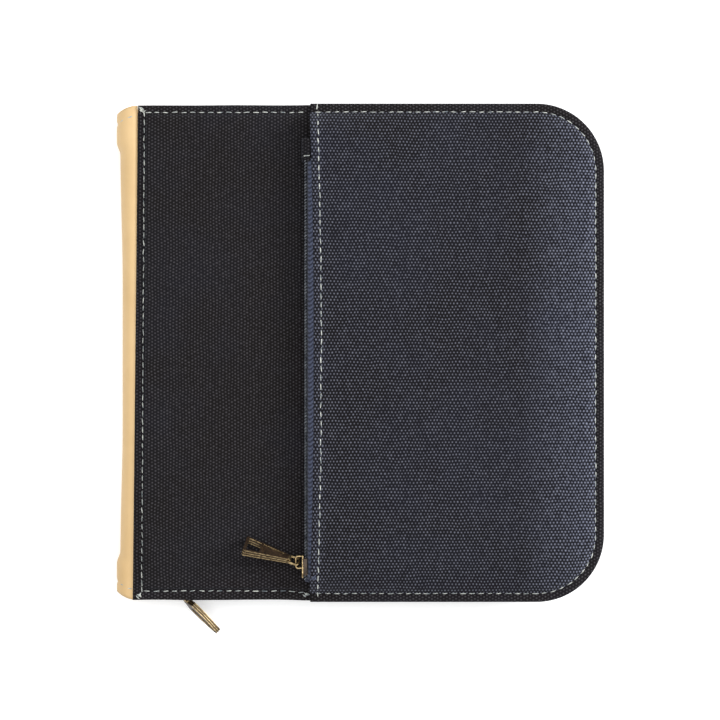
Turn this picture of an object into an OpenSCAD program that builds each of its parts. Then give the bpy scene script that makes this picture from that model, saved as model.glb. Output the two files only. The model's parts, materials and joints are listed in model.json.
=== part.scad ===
// Zip-around travel document organizer: two canvas covers joined by a leather spine,
// closed on three sides by a zip, with a zipped canvas pocket on the front cover.
// Millimetres. The case lies closed on its back cover, front cover up, spine along -X.
// The origin is the middle of the back cover's outer face.

/* [Covers] */
// Width of a cover, from its spine edge to its far edge
cover_w = 197; // [160:1:250]
// Height of a cover, along the spine
cover_h = 210; // [160:1:270]
// Radius of the two corners away from the spine
corner_r = 28; // [16:1:40]
// Thickness of the closed case over its two covers
case_t = 19; // [18:0.5:40]
// Thickness of the canvas
canvas_t = 0.9; // [0.6:0.1:1.2]
// Thickness of the board inside each cover
board_t = 1.8; // [1:0.1:3]
// Thickness of the lining
lining_t = 0.6; // [0.3:0.1:0.9]
// Width of the stitched rim outside the board
rim_w = 4.5; // [4:0.1:6]
// Distance of the rim seam from the edge
rim_seam = 3.1; // [2:0.1:3.5]
// Diameter of the sewing thread
thread_d = 0.5; // [0.3:0.05:0.8]

/* [Spine] */
// Thickness of the leather
leather_t = 1.2; // [0.8:0.1:1.6]
// Width of leather sewn in under each cover
margin_w = 5; // [4:0.5:8]
// Distance of the spine seam from the canvas edge
spine_seam = 2.2; // [1.5:0.1:3]
// Length that the spine stops short of each cover's end
spine_short = 1.5; // [0.5:0.5:4]

/* [Zips] */
// Thickness of the zip tape
tape_t = 0.6; // [0.4:0.1:0.8]
// Distance of the main zip's wall from the edge of the covers
wall_inset = 6.5; // [6.5:0.1:9]
// Width of the meshed chain
chain_w = 4.6; // [4.2:0.1:5.5]
// Thickness of the chain, out from the tape
chain_t = 1.3; // [1.1:0.1:1.6]
// Free gap in the middle of the chain, where the slider's post runs
chain_gap = 1; // [0.8:0.1:1.2]
// Length of a slider
slider_l = 9.4; // [8:0.1:12]
// Width of a slider's outer plate
slider_w = 7; // [6.8:0.1:8]
// Thickness of a slider's plates
plate_t = 0.8; // [0.7:0.1:1]
// Running clearance of a slider
slider_gap = 0.2; // [0.15:0.05:0.3]
// Place of the main slider at rest, from the spine edge
main_rest = 15; // [15:0.1:40]
// Place of the pocket slider's lower end at rest, from the foot of its zip
pocket_park = 0.6; // [0.3:0.1:20]

/* [Pulls] */
// Length of the main pull, from its pivot to its tip
main_pull_l = 24; // [20:1:30]
// Width of the main pull
main_pull_w = 6.8; // [6:0.1:8]
// Thickness of the main pull
main_pull_t = 2.3; // [2:0.1:2.6]
// Angle that the main pull leans over about its own length
main_pull_lean = 20; // [5:1:30]
// Angle of the main pull at rest, from straight out towards the far edge
main_pull_turn = 45; // [0:1:70]
// Length of the pocket's pull, from its pivot to its end
pocket_pull_l = 24; // [20:1:30]
// Width of the pocket's pull at its free end
pocket_pull_w = 10; // [8:0.1:10]
// Thickness of the pocket's pull at its free end
pocket_pull_t = 3; // [2.6:0.1:3]
// Angle that the pocket's pull leans over about its own length
pocket_pull_lean = 32; // [10:1:32]
// Angle of the pocket's pull at rest, from straight out towards the upper edge
pocket_pull_turn = 17; // [0:1:60]

/* [Pocket] */
// Width of the outer pocket, from its zip edge to the far edge of the cover
pocket_w = 122.3; // [100:0.1:130]
// Distance from the pocket's edge out to its zip
pocket_lip = 2.1; // [2:0.1:4]
// Height of the pocket's zip above the cover
pocket_zip_h = 5.3; // [5.3:0.1:7]
// Height of the pocket's far side above the cover
pocket_side = 3.6; // [3:0.1:5]
// Distance of the pocket seam from the pocket's edge
pocket_seam = 2.9; // [2:0.1:4]
// Length of the canvas tab over the upper end of the pocket zip
tab_l = 10.2; // [8:0.1:14]
// Distance of the tab's upper end from the edge of the cover
tab_top = 14.8; // [12:0.1:20]
// Distance of the zip's lower end from the edge of the cover
zip_foot = 10; // [9.8:0.1:10.4]

/* [Inside] */
// Gap left inside a flat inner pocket
slip_gap = 0.4; // [0.2:0.1:0.6]
// Thickness of an inner pocket's panel
panel_t = 0.5; // [0.3:0.1:0.7]
// Distance of the long sleeves from the edge of the cover
sleeve_inset = 13; // [11:1:20]
// Width of the long sleeves
sleeve_w = 145; // [110:1:150]
// Width of the passport pocket
passport_w = 100; // [95:1:110]
// Height of the passport pocket
passport_h = 104; // [90:1:115]
// Width of the card pockets
card_w = 95; // [90:1:105]
// Height of the card pocket on top
card_h = 62; // [55:1:70]
// Step from one card pocket to the next
card_step = 14; // [10:1:18]
// Number of card pockets
card_n = 4; // [4:1:4]
// Width of the pen sleeve
pen_w = 16; // [14:1:20]
// Length of the pen sleeve
pen_l = 120; // [100:1:140]

/* [Hidden] */
$fn = 64;

// Clearance between solids that move past each other, and between the two ends of a cut
clear = 0.3;
// Overshoot of a cutting solid past the face that it cuts
past = 1;

// Places of the covers
left = -cover_w / 2;
far = cover_w / 2;
top = cover_h / 2;
mid_z = case_t / 2;
rim_z = board_t + canvas_t;
hem_z = rim_z + lining_t;
wall_z = hem_z + tape_t;
inner_left = left + margin_w + 0.2;

// The leather wrap, a half round between the two rims
wrap_r = mid_z - rim_z;
wrap_x = left - clear;
spine_len = cover_h - 2 * spine_short;

// The chain, on the outer face of its tape
tape_edge = chain_gap / 2 + 0.4;
bead_w = (chain_w - chain_gap) / 2;
inner_plate_w = slider_w - 1;
bead_out = tape_t / 2 + chain_t;
plate_out = bead_out + slider_gap;

// The crown of a slider, with its slot for the pull's ring
cap_l = 5.6;
cap_h = 3.15;
cap_w = 1.6;
cap_wall = 0.6;
cap_foot = 0.3;
cap_slot_l = 3.4;
cap_shift = 1.7;
pivot_h = 1.55;
pivot_out = plate_out + plate_t + pivot_h;

// The wire ring that holds a pull, and the pull's knuckle on it
ring_r = 0.45;
ring_w = 5.4;
ring_l = 4.6;
ring_bend = 1;
knuckle_r = 1.15;
knuckle_w = 3.2;
knuckle_gap = 0.08;

// The faces of a pull
pull_rim = 1.1;
pull_sink = 0.5;
leaf_tip_r = 1.5;
leaf_full = 0.62;
window_l = 5.6;
window_end = 1.2;
chamfer = 0.7;

// The main zip's wall line, and where its two halves part near the spine
wall_mid = wall_inset + tape_t / 2;
main_x = left + main_rest;
part_gap = 1.6;
part_lower = main_x + slider_l / 2 + 1;
part_upper = inner_left + 8;

// The pocket and its zip
pocket_x = far - pocket_w;
zip_x = pocket_x - pocket_lip;
zip_z = case_t + pocket_zip_h;
lip_z = zip_z + inner_plate_w / 2 + slider_gap;
pocket_top = lip_z + tape_t + canvas_t;
zip_low = -top + zip_foot;
zip_high = top - tab_top - tab_l;
pocket_y = zip_low + pocket_park + slider_l / 2;
tuck_w = 8;
rim_top = case_t - board_t;
pocket_foot = rim_w - canvas_t;
pocket_slope = 3.5;
pocket_flat = 44;
level_t = 0.2;

// ---- shapes that repeat ----

// Outline of a cover, taken in on its three free sides, from x = from to its far edge
module outline(inset, from) {
    r = corner_r - inset;
    x = far - inset;
    y = top - inset;
    translate([from, -y]) square([x - r - from, 2 * y]);
    translate([from, r - y]) square([x - from, 2 * (y - r)]);
    for (side = [-1, 1]) translate([x - r, side * (y - r)]) circle(r);
}

// Strip that follows the three free sides, between two insets, open towards the spine
module strip(outer, inner, from) {
    difference() {
        outline(outer, from);
        outline(inner, from - past);
    }
}

// Turns what is modelled on the back cover over, onto the front cover
module front() {
    translate([0, 0, case_t]) mirror([0, 0, 1]) children();
}

// Slab of a 2D shape from height z
module slab(z, t) {
    translate([0, 0, z]) linear_extrude(t) children();
}

// Cuts away the strip's two legs left of x = lower on the -Y side and x = upper on the +Y side
module part_at(lower, upper) {
    difference() {
        children();
        translate([left - past, -top - past, -past]) cube([lower - left + past, top + past, case_t + 2 * past]);
        translate([left - past, 0, -past]) cube([upper - left + past, top + past, case_t + 2 * past]);
    }
}

// Flat pocket panel on a rim along three sides, open at +Y ("top") or -X ("side")
module slip_pocket(x, y, w, h, z, open) {
    seam = 2;
    difference() {
        translate([x, y, z]) cube([w, h, slip_gap + panel_t]);
        translate([open == "side" ? x - past : x + seam, y + seam, z - past])
            cube([open == "side" ? w - seam + past : w - 2 * seam,
                  open == "top" ? h - seam + past : h - 2 * seam, slip_gap + past]);
    }
}

// ---- a cover, modelled as the back one ----

module cover_canvas() {
    difference() {
        union() {
            slab(board_t, canvas_t) outline(0, left);
            slab(0, rim_z) outline(rim_w, left + rim_w);
        }
        slab(canvas_t, rim_z) outline(rim_w + canvas_t, left + rim_w + canvas_t);
    }
}

module cover_board() {
    slab(canvas_t, board_t) outline(rim_w + canvas_t, left + rim_w + canvas_t);
}

module cover_lining() {
    slab(rim_z, lining_t) outline(0.5, inner_left);
}

module spine_margin() {
    translate([left, -spine_len / 2, rim_z]) cube([margin_w, spine_len, leather_t]);
}

module rim_thread(from) {
    slab(0, thread_d / 2) strip(rim_seam - thread_d / 2, rim_seam + thread_d / 2, from);
}

module spine_thread() {
    translate([left + spine_seam - thread_d / 2, rim_seam - top + 1, board_t - thread_d / 2])
        cube([thread_d, cover_h - 2 * rim_seam - 2, thread_d / 2]);
}

// Tape of the main zip: a hem under the lining's edge, and a wall up to the chain
module cover_tape(from) {
    slab(hem_z, tape_t) strip(1, wall_inset + tape_t, from);
    slab(hem_z, mid_z - tape_edge - hem_z) strip(wall_inset, wall_inset + tape_t, from);
}

module cover_coil(from) {
    slab(mid_z - chain_w / 2, bead_w) strip(wall_inset - chain_t, wall_inset, from);
}

// ---- the zip ends at the spine, where both tapes are sewn to the back cover ----

// Upper half of the tape and chain, left of the place where the front half parts
module zip_end(side, parts) {
    joined = side < 0 ? main_x - slider_l / 2 - 2 * clear : parts;
    length = parts - part_gap - inner_left;
    wall_top = case_t - wall_z - clear;
    y = side * (top - wall_mid);
    translate([inner_left, y - tape_t / 2, mid_z + tape_edge])
        cube([length, tape_t, wall_top - mid_z - tape_edge]);
    translate([inner_left, y - tape_t / 2, mid_z - tape_edge])
        cube([joined - clear - inner_left, tape_t, 2 * tape_edge]);
    translate([inner_left, side > 0 ? y + tape_t / 2 : y - tape_t / 2 - chain_t, mid_z + chain_gap / 2])
        cube([length, chain_t, bead_w]);
}

// ---- the spine ----

// Half-round shell along the spine, open towards the covers
module half_tube(outer, inner, length) {
    translate([wrap_x, length / 2, mid_z]) rotate([90, 0, 0]) linear_extrude(length)
        difference() {
            circle(outer);
            circle(inner);
            translate([0, -outer - past]) square([outer + past, 2 * (outer + past)]);
        }
}

// ---- the outer pocket ----

// One level of the pocket body, t thick, from its zip edge to its far corners
module pocket_level(z, t, inset, from) {
    r = corner_r - inset;
    y = top - inset;
    translate([from, -y, z]) cube([level_t, 2 * y, t]);
    for (side = [-1, 1]) translate([far - corner_r, side * (y - r), z]) cylinder(h = t, r = r, $fn = 48);
}

// The raised pocket body, blended through its levels and shrunk by t on every side
module pocket_body(t, from) {
    hull() {
        pocket_level(rim_top, board_t, pocket_foot + t, from);
        pocket_level(case_t + pocket_side - t, level_t, pocket_foot + pocket_slope + t, from);
        translate([from, -top + zip_foot - t, pocket_top - t - level_t])
            cube([pocket_flat - t, cover_h - 2 * zip_foot + 2 * t, level_t]);
    }
}

module pocket_panel() {
    mouth_low = zip_low - clear;
    difference() {
        union() {
            slab(rim_top, canvas_t) strip(0, rim_w, pocket_x);
            pocket_body(0, pocket_x);
        }
        difference() {
            pocket_body(canvas_t, pocket_x - past);
            translate([pocket_x - 2 * past, -top, case_t])
                cube([2 * past + canvas_t, cover_h, pocket_top]);
        }
        slab(rim_top - past, past + board_t) outline(rim_w, pocket_x - 2 * past);
        translate([pocket_x - past, mouth_low, case_t])
            cube([past + 2 * canvas_t, zip_high - mouth_low, pocket_top - canvas_t - case_t]);
    }
}

// One tape of the pocket zip: a tuck and a wall, up to its side of the chain
module pocket_tape(side) {
    tuck_z = side > 0 ? lip_z : case_t;
    wall_low = side > 0 ? zip_z + tape_edge : case_t;
    wall_high = side > 0 ? lip_z + tape_t : zip_z - tape_edge;
    length = zip_high - zip_low;
    translate([zip_x - tape_t / 2, zip_low, tuck_z]) cube([tuck_w, length, tape_t]);
    translate([zip_x - tape_t / 2, zip_low, wall_low]) cube([tape_t, length, wall_high - wall_low]);
}

module pocket_coil(side) {
    z = side > 0 ? zip_z + chain_gap / 2 : zip_z - chain_gap / 2 - bead_w;
    translate([zip_x - bead_out, zip_low, z]) cube([chain_t, zip_high - zip_low, bead_w]);
}

// ---- a slider: it travels along X, and its crown faces +Y ----

module slider_outline(width) {
    tail = width - 1.4;
    half = slider_l / 2;
    polygon([[-half, -width / 2 + 1], [-half + 1, -width / 2], [0, -width / 2], [half, -tail / 2],
             [half, tail / 2], [0, width / 2], [-half + 1, width / 2], [-half, width / 2 - 1]]);
}

// A plate of the slider, from y to y + t
module slider_plate(y, t, width) {
    translate([0, y + t, 0]) rotate([90, 0, 0]) linear_extrude(t) slider_outline(width);
}

module slider_body() {
    inner = -tape_t / 2 - slider_gap - plate_t;
    channel = chain_w / 2 + slider_gap;
    post_w = chain_gap - 2 * slider_gap;
    difference() {
        slider_plate(tape_t / 2 + slider_gap, plate_out + plate_t - tape_t / 2 - slider_gap, slider_w);
        translate([-slider_l, 0, -channel]) cube([2 * slider_l, plate_out, 2 * channel]);
    }
    slider_plate(inner, plate_t, inner_plate_w);
    // The post that joins the plates and parts the chain
    translate([1 - slider_l / 2, inner, -post_w / 2]) cube([2.4, plate_out - inner + plate_t, post_w]);
}

// The crown: a rounded arch over the pull's ring
module slider_cap() {
    translate([cap_shift, plate_out + plate_t, -cap_w / 2]) linear_extrude(cap_w) difference() {
        union() {
            translate([-cap_l / 2, 0]) square([cap_l, cap_h - 1]);
            translate([-cap_l / 2 + 1, 0]) square([cap_l - 2, cap_h]);
            for (side = [-1, 1]) translate([side * (cap_l / 2 - 1), cap_h - 1]) circle(1);
        }
        translate([-cap_slot_l / 2, cap_foot]) square([cap_slot_l, cap_h - cap_wall - cap_foot]);
    }
}

// ---- a pull: it points along +Y from its pivot, with its width along Z and its faces towards X ----

// Rounded wire ring, its near bar on the pivot and its far bar in the knuckle
module pull_ring() {
    half = ring_w / 2 - ring_r;
    bend_x = half - ring_bend;
    rotate([0, -90, 0]) {
        for (y = [0, ring_l]) translate([-bend_x, y, 0]) rotate([0, 90, 0]) cylinder(h = 2 * bend_x, r = ring_r);
        for (side = [-1, 1]) translate([side * half, ring_bend, 0]) rotate([-90, 0, 0])
            cylinder(h = ring_l - 2 * ring_bend, r = ring_r);
        for (side = [-1, 1], end = [0, 1])
            translate([side * bend_x, end ? ring_l - ring_bend : ring_bend, 0]) ring_corner(side, end)
                rotate_extrude(angle = 90) translate([ring_bend, 0]) circle(ring_r, $fn = 32);
    }
}

// Turns a quarter bend into one of a ring's four corners
module ring_corner(side, end) {
    rotate(side > 0 ? (end ? 0 : 270) : (end ? 90 : 180)) children();
}

// Flat outline of the pull that ends in a tapered, rounded tip, w wide and l long
module leaf_outline(w, l, tip_r) {
    neck = knuckle_w / 2;
    shoulder = ring_l + ring_r + 3;
    polygon([[-neck, ring_l], [neck, ring_l], [neck, shoulder - 2.2], [w / 2, shoulder], [w / 2, leaf_full * l],
             [tip_r, l - tip_r], [-tip_r, l - tip_r], [-w / 2, leaf_full * l], [-w / 2, shoulder],
             [-neck, shoulder - 2.2]]);
    translate([0, l - tip_r]) circle(tip_r);
}

// Flat outline of the pull that widens to a square end, w wide and l long
module wedge_outline(w, l) {
    neck = knuckle_w / 2;
    polygon([[-neck, ring_l], [neck, ring_l], [w / 2, l - chamfer], [w / 2 - chamfer, l],
             [chamfer - w / 2, l], [-w / 2, l - chamfer]]);
}

// Half the width of the square-ended pull at length y
function wedge_half(w, l, y) = knuckle_w / 2 + (w - knuckle_w) / 2 * (y - ring_l) / (l - chamfer - ring_l);

// Plate of an outline, as thick as its knuckle at the ring and t thick at length l
module pull_plate(t, l) {
    intersection() {
        rotate([0, -90, 0]) translate([0, 0, -l]) linear_extrude(2 * l) children();
        translate([0, 0, -l]) linear_extrude(2 * l)
            polygon([[-knuckle_r, ring_l], [knuckle_r, ring_l], [t / 2, l], [-t / 2, l]]);
    }
}

// Knuckle and plate of a pull, bored for the ring
module pull_blank(t, l) {
    difference() {
        union() {
            translate([0, ring_l, 0]) cylinder(h = knuckle_w, r = knuckle_r, center = true);
            pull_plate(t, l) children();
        }
        translate([0, ring_l, 0]) cylinder(h = knuckle_w + 2 * past, r = ring_r + knuckle_gap, center = true);
    }
}

// Sinks an outline into both faces of a plate that is t thick at length l
module sink_faces(t, l) {
    for (side = [-1, 1]) rotate([0, -90, 0]) translate([0, 0, side > 0 ? knuckle_r - pull_sink : -l])
        linear_extrude(l - knuckle_r + pull_sink) children();
}

module leaf_pull(w, t, l) {
    difference() {
        pull_blank(t, l) leaf_outline(w, l, leaf_tip_r);
        sink_faces(t, l) difference() {
            translate([0, pull_rim]) leaf_outline(w - 2 * pull_rim, l - 2 * pull_rim, leaf_tip_r - pull_rim / 2);
            translate([-w, 0]) square([2 * w, ring_l + ring_r + 3 + pull_rim]);
        }
    }
}

module window_pull(w, t, l) {
    low = l - window_end - window_l;
    difference() {
        pull_blank(t, l) wedge_outline(w, l);
        rotate([0, -90, 0]) translate([0, 0, -l]) linear_extrude(2 * l) {
            near = wedge_half(w, l, low) - pull_rim;
            end = w / 2 - pull_rim - 0.2;
            polygon([[-near, low], [near, low], [end, low + window_l], [-end, low + window_l]]);
        }
        sink_faces(t, l) {
            from = ring_l + knuckle_r + 1;
            near = wedge_half(w, l, from) - pull_rim;
            end = wedge_half(w, l, low - pull_rim) - pull_rim;
            polygon([[-near, from], [near, from], [end, low - pull_rim], [-end, low - pull_rim]]);
        }
    }
}

module at_main_slider() {
    translate([main_x, wall_mid - top, mid_z]) rotate([180, 0, 0]) children();
}

module at_pocket_slider() {
    translate([zip_x, pocket_y, zip_z]) rotate([0, 0, 90]) children();
}

module turned_pull(turn, lean) {
    translate([cap_shift, pivot_out, 0]) rotate([0, 0, -turn]) rotate([0, -lean, 0]) children();
}

// ---- nodes ----

module back_canvas() { color("#2d2a2c") cover_canvas(); }
module back_board() { color("#8a7a62") cover_board(); }
module back_lining() { color("#20242e") cover_lining(); }
module back_rim_thread() { color("#c9cdca") translate([0, 0, board_t - thread_d / 2]) rim_thread(left + 1); }
module back_spine_margin() { color("#e6c593") spine_margin(); }
module back_spine_thread() { color("#c9cdca") spine_thread(); }
module back_zip_tape() { color("#3b3f50") cover_tape(inner_left); }
module back_zip_coil() { color("#3c4148") cover_coil(inner_left); }
module zip_end_lower() { color("#3b3f50") zip_end(-1, part_lower); }
module zip_end_upper() { color("#3b3f50") zip_end(1, part_upper); }

// Sleeve along the spine for long papers, open towards the spine, with its corners inside the zip wall
module long_sleeve() {
    intersection() {
        slip_pocket(far - sleeve_inset - sleeve_w, sleeve_inset - top, sleeve_w, cover_h - 2 * sleeve_inset,
                    hem_z, "side");
        slab(hem_z, case_t) outline(wall_inset + tape_t + clear, left + past);
    }
}

module ticket_sleeve() { color("#2d2a2c") long_sleeve(); }

module passport_pocket() {
    color("#e6c593") slip_pocket(far - sleeve_inset - 8 - passport_w, sleeve_inset - top + 8,
                                 passport_w, passport_h, hem_z + slip_gap + panel_t, "top");
}

module pen_sleeve() {
    color("#20242e") slip_pocket(far - sleeve_inset - sleeve_w - 3 - pen_w, -pen_l / 2, pen_w, pen_l, hem_z, "top");
}

module spine_leather() { color("#e6c593") half_tube(wrap_r, wrap_r - leather_t, spine_len); }
module spine_lining() {
    color("#20242e") half_tube(wrap_r - leather_t, wrap_r - leather_t - lining_t, spine_len - 4);
}

module front_canvas() { color("#2d2a2c") front() cover_canvas(); }
module front_board() { color("#8a7a62") front() cover_board(); }
module front_lining() { color("#20242e") front() cover_lining(); }

module front_rim_thread() {
    color("#c9cdca") {
        intersection() {
            translate([0, 0, rim_top]) rim_thread(left + 1);
            translate([left, -top, 0]) cube([pocket_x - clear - left, cover_h, case_t]);
        }
        translate([0, 0, rim_top + canvas_t]) rim_thread(pocket_x + 1);
    }
}

module front_spine_margin() { color("#e6c593") front() spine_margin(); }
module front_spine_thread() { color("#c9cdca") front() spine_thread(); }
module front_zip_tape() { color("#3b3f50") front() part_at(part_lower, part_upper) cover_tape(inner_left); }
module front_zip_coil() { color("#3c4148") front() part_at(part_lower, part_upper) cover_coil(inner_left); }

module document_sleeve() { color("#2d2a2c") front() long_sleeve(); }

// Card pocket number n, counted from the one sewn to the sleeve
module card_pocket(n) {
    layer = slip_gap / 2 + panel_t;
    height = card_h + (card_n - n) * card_step;
    x = far - sleeve_inset - 8 - card_w;
    y = sleeve_inset - top + 8;
    color("#e6c593") front() difference() {
        translate([x, y, hem_z + slip_gap + panel_t + (n - 1) * layer]) cube([card_w, height, layer]);
        translate([x + 2, y + 2, hem_z + slip_gap + panel_t + (n - 1) * layer - past])
            cube([card_w - 4, height, slip_gap / 2 + past]);
    }
}

module pocket_edge_thread() {
    color("#c9cdca") translate([pocket_x + pocket_seam - thread_d / 2, zip_low + 2, pocket_top])
        cube([thread_d, zip_high - zip_low, thread_d / 2]);
}

module pocket_tape_upper() { color("#3b4258") pocket_tape(1); }
module pocket_tape_lower() { color("#3b4258") pocket_tape(-1); }
module pocket_coil_upper() { color("#50565e") pocket_coil(1); }
module pocket_coil_lower() { color("#50565e") pocket_coil(-1); }

module pocket_zip_tab() {
    color("#2d2a2c") translate([zip_x - bead_out, zip_high, case_t])
        cube([pocket_lip + bead_out - clear, tab_l, lip_z - case_t]);
}

module pocket_zip_stop() {
    color("#3b4258") translate([zip_x - bead_out, zip_low - 1.4, zip_z - chain_w / 2])
        cube([bead_out + 1, 1.4, chain_w]);
}

module main_slider_body() { color("#a5834f") at_main_slider() slider_body(); }
module main_slider_cap() { color("#a5834f") at_main_slider() slider_cap(); }

module main_pull_ring() {
    color("#a5834f") at_main_slider() turned_pull(main_pull_turn, main_pull_lean) pull_ring();
}

module main_pull() {
    color("#a5834f") at_main_slider() turned_pull(main_pull_turn, main_pull_lean)
        leaf_pull(main_pull_w, main_pull_t, main_pull_l);
}

module pocket_slider_body() { color("#a5834f") at_pocket_slider() slider_body(); }
module pocket_slider_cap() { color("#a5834f") at_pocket_slider() slider_cap(); }

module pocket_pull_ring() {
    color("#a5834f") at_pocket_slider() turned_pull(pocket_pull_turn, pocket_pull_lean) pull_ring();
}

module pocket_pull() {
    color("#a5834f") at_pocket_slider() turned_pull(pocket_pull_turn, pocket_pull_lean)
        window_pull(pocket_pull_w, pocket_pull_t, pocket_pull_l);
}

back_canvas();
back_board();
back_lining();
back_rim_thread();
back_spine_margin();
back_spine_thread();
back_zip_tape();
back_zip_coil();
zip_end_lower();
zip_end_upper();
ticket_sleeve();
passport_pocket();
pen_sleeve();
spine_leather();
spine_lining();
front_canvas();
front_board();
front_lining();
front_rim_thread();
front_spine_margin();
front_spine_thread();
front_zip_tape();
front_zip_coil();
document_sleeve();
card_pocket(1);  // card_pocket_1
card_pocket(2);  // card_pocket_2
card_pocket(3);  // card_pocket_3
card_pocket(4);  // card_pocket_4
color("#393845") pocket_panel();
pocket_edge_thread();
pocket_tape_upper();
pocket_tape_lower();
pocket_coil_upper();
pocket_coil_lower();
pocket_zip_tab();
pocket_zip_stop();
main_slider_body();
main_slider_cap();
main_pull_ring();
main_pull();
pocket_slider_body();
pocket_slider_cap();
pocket_pull_ring();
pocket_pull();
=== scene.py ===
import json
import math
import random

import bmesh
import bpy
from mathutils import Matrix, Vector, noise


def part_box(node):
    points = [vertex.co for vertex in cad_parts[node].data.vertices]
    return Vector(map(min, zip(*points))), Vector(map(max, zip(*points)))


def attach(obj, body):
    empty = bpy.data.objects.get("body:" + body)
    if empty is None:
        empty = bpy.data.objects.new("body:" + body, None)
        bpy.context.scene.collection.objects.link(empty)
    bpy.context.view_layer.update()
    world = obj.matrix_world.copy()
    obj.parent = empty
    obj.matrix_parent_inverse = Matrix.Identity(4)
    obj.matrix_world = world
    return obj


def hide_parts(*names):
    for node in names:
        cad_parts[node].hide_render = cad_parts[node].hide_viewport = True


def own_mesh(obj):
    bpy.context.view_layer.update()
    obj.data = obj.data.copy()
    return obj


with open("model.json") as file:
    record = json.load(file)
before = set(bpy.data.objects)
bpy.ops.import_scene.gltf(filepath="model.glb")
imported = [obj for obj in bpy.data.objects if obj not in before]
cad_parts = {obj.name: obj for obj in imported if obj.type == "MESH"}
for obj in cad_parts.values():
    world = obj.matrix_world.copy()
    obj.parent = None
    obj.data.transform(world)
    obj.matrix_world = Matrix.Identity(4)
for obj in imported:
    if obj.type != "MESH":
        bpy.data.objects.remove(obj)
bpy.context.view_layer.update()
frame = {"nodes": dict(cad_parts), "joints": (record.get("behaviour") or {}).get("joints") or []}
mm = 0.001

# ---------------------------------------------------------------------------------- the studio
# The case lies closed on a plain white table, seen from straight above. A wide soft light hangs
# over it, and a second one on its far side draws out the roll of the pocket and the weave.

eye_x = -4.33 * mm
eye_y = -3.06 * mm
eye_height = 865 * mm
table_size = 24.0

camera_data = bpy.data.cameras.new("camera")
camera_data.lens = 100
camera_data.sensor_width = 36
camera_data.clip_start = 0.05
camera_data.clip_end = 60
camera = bpy.data.objects.new("camera", camera_data)
camera.location = (eye_x, eye_y, eye_height)
bpy.context.scene.collection.objects.link(camera)
bpy.context.scene.camera = camera
bpy.context.scene.view_settings.view_transform = "Standard"


def shader_node(tree, kind, settings=None, **inputs):
    """A shader node with its settings and its inputs, each a value or another node's output."""
    made = tree.nodes.new("ShaderNode" + kind)
    for name, value in (settings or {}).items():
        setattr(made, name, value)
    for name, value in inputs.items():
        key = int(name[2:]) if name.startswith("in") else name.replace("_", " ")
        socket = made.inputs[key]
        if isinstance(value, bpy.types.NodeSocket):
            tree.links.new(value, socket)
        else:
            socket.default_value = value
    return made


def new_finish(name, roughness, **sockets):
    """A material with its own Principled shader, its node tree and that shader."""
    material = bpy.data.materials.new(name)
    material.use_nodes = True
    tree = material.node_tree
    shader = tree.nodes["Principled BSDF"]
    shader.inputs["Roughness"].default_value = roughness
    for socket, value in sockets.items():
        shader.inputs[socket.replace("_", " ")].default_value = value
    return material, tree, shader


def soft_light(name, place, aim, size, power):
    lamp = bpy.data.lights.new(name, "AREA")
    lamp.size = size
    lamp.energy = power
    made = bpy.data.objects.new(name, lamp)
    made.location = place
    made.rotation_euler = (Vector(aim) - Vector(place)).to_track_quat("-Z", "Y").to_euler()
    bpy.context.scene.collection.objects.link(made)


soft_light("overhead_light", (0.1, 0.1, 1.6), (0, 0, 0), 1.6, 19)
soft_light("side_light", (0.95, 0.3, 0.6), (0, 0, 0), 0.45, 11)
sky = bpy.data.worlds.new("sky")
sky.use_nodes = True
sky.node_tree.nodes["Background"].inputs["Color"].default_value = (1, 1, 1, 1)
sky.node_tree.nodes["Background"].inputs["Strength"].default_value = 0.55
bpy.context.scene.world = sky

white_table = new_finish("white_table", 0.9, Base_Color=(0.92, 0.92, 0.92, 1), Emission_Color=(1, 1, 1, 1),
                         Emission_Strength=0.3)[0]
bm = bmesh.new()
bmesh.ops.create_grid(bm, x_segments=2, y_segments=2, size=table_size / 2)
table_mesh = bpy.data.meshes.new("table")
bm.to_mesh(table_mesh)
bm.free()
table_mesh.materials.append(white_table)
table = bpy.data.objects.new("table", table_mesh)
bpy.context.scene.collection.objects.link(table)

# ------------------------------------------------------------------------------- canvas covers
# Each cover is one piece of coarse plain-weave cotton canvas over a stiff board. Its edges are
# turned under all round and topstitched close to the board, which leaves a soft padded rim
# outside the stitches and a groove along them.

canvas_low, canvas_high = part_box("front_canvas")
left = canvas_low.x
far = canvas_high.x
top = canvas_high.y
case_top = canvas_high.z
corner_r = 28 * mm
corner_steps = 14
rim_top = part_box("front_rim_thread")[0].z + 0.25 * mm
seam_inset = 3.1 * mm
spine_seam = 2.2 * mm
cloth_t = 0.42 * mm


def sum_of(tree, operation, *values):
    """One step of arithmetic on node outputs and numbers."""
    inputs = {"in" + str(i): value for i, value in enumerate(values)}
    return shader_node(tree, "Math", {"operation": operation}, **inputs).outputs[0]


def cloud_of(tree, place, scale, detail, roughness=0.5):
    made = shader_node(tree, "TexNoise", Vector=place, Scale=scale, Detail=detail, Roughness=roughness)
    return made.outputs["Fac"]


def shades(tree, level, *stops):
    """A colour that follows a level through stops of (position, colour)."""
    ramp = shader_node(tree, "ValToRGB", Fac=level)
    for element, (position, colour) in zip(ramp.color_ramp.elements, (stops[0], stops[-1])):
        element.position = position
        element.color = (*colour, 1)
    for position, colour in stops[1:-1]:
        ramp.color_ramp.elements.new(position).color = (*colour, 1)
    return ramp.outputs["Color"]


def colour_and_bump(tree, shader, colour, strength, depth, height):
    tree.links.new(colour, shader.inputs["Base Color"])
    bump = shader_node(tree, "Bump", Strength=strength, Distance=depth, Height=height)
    tree.links.new(bump.outputs["Normal"], shader.inputs["Normal"])


def lighten(tree, colour, amount, tint):
    """Adds a tint to a colour, by an amount from 0 to 1."""
    return shader_node(tree, "Mix", {"data_type": "RGBA", "blend_type": "ADD"}, in0=amount, in6=colour,
                       in7=(*tint, 1)).outputs[2]


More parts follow.
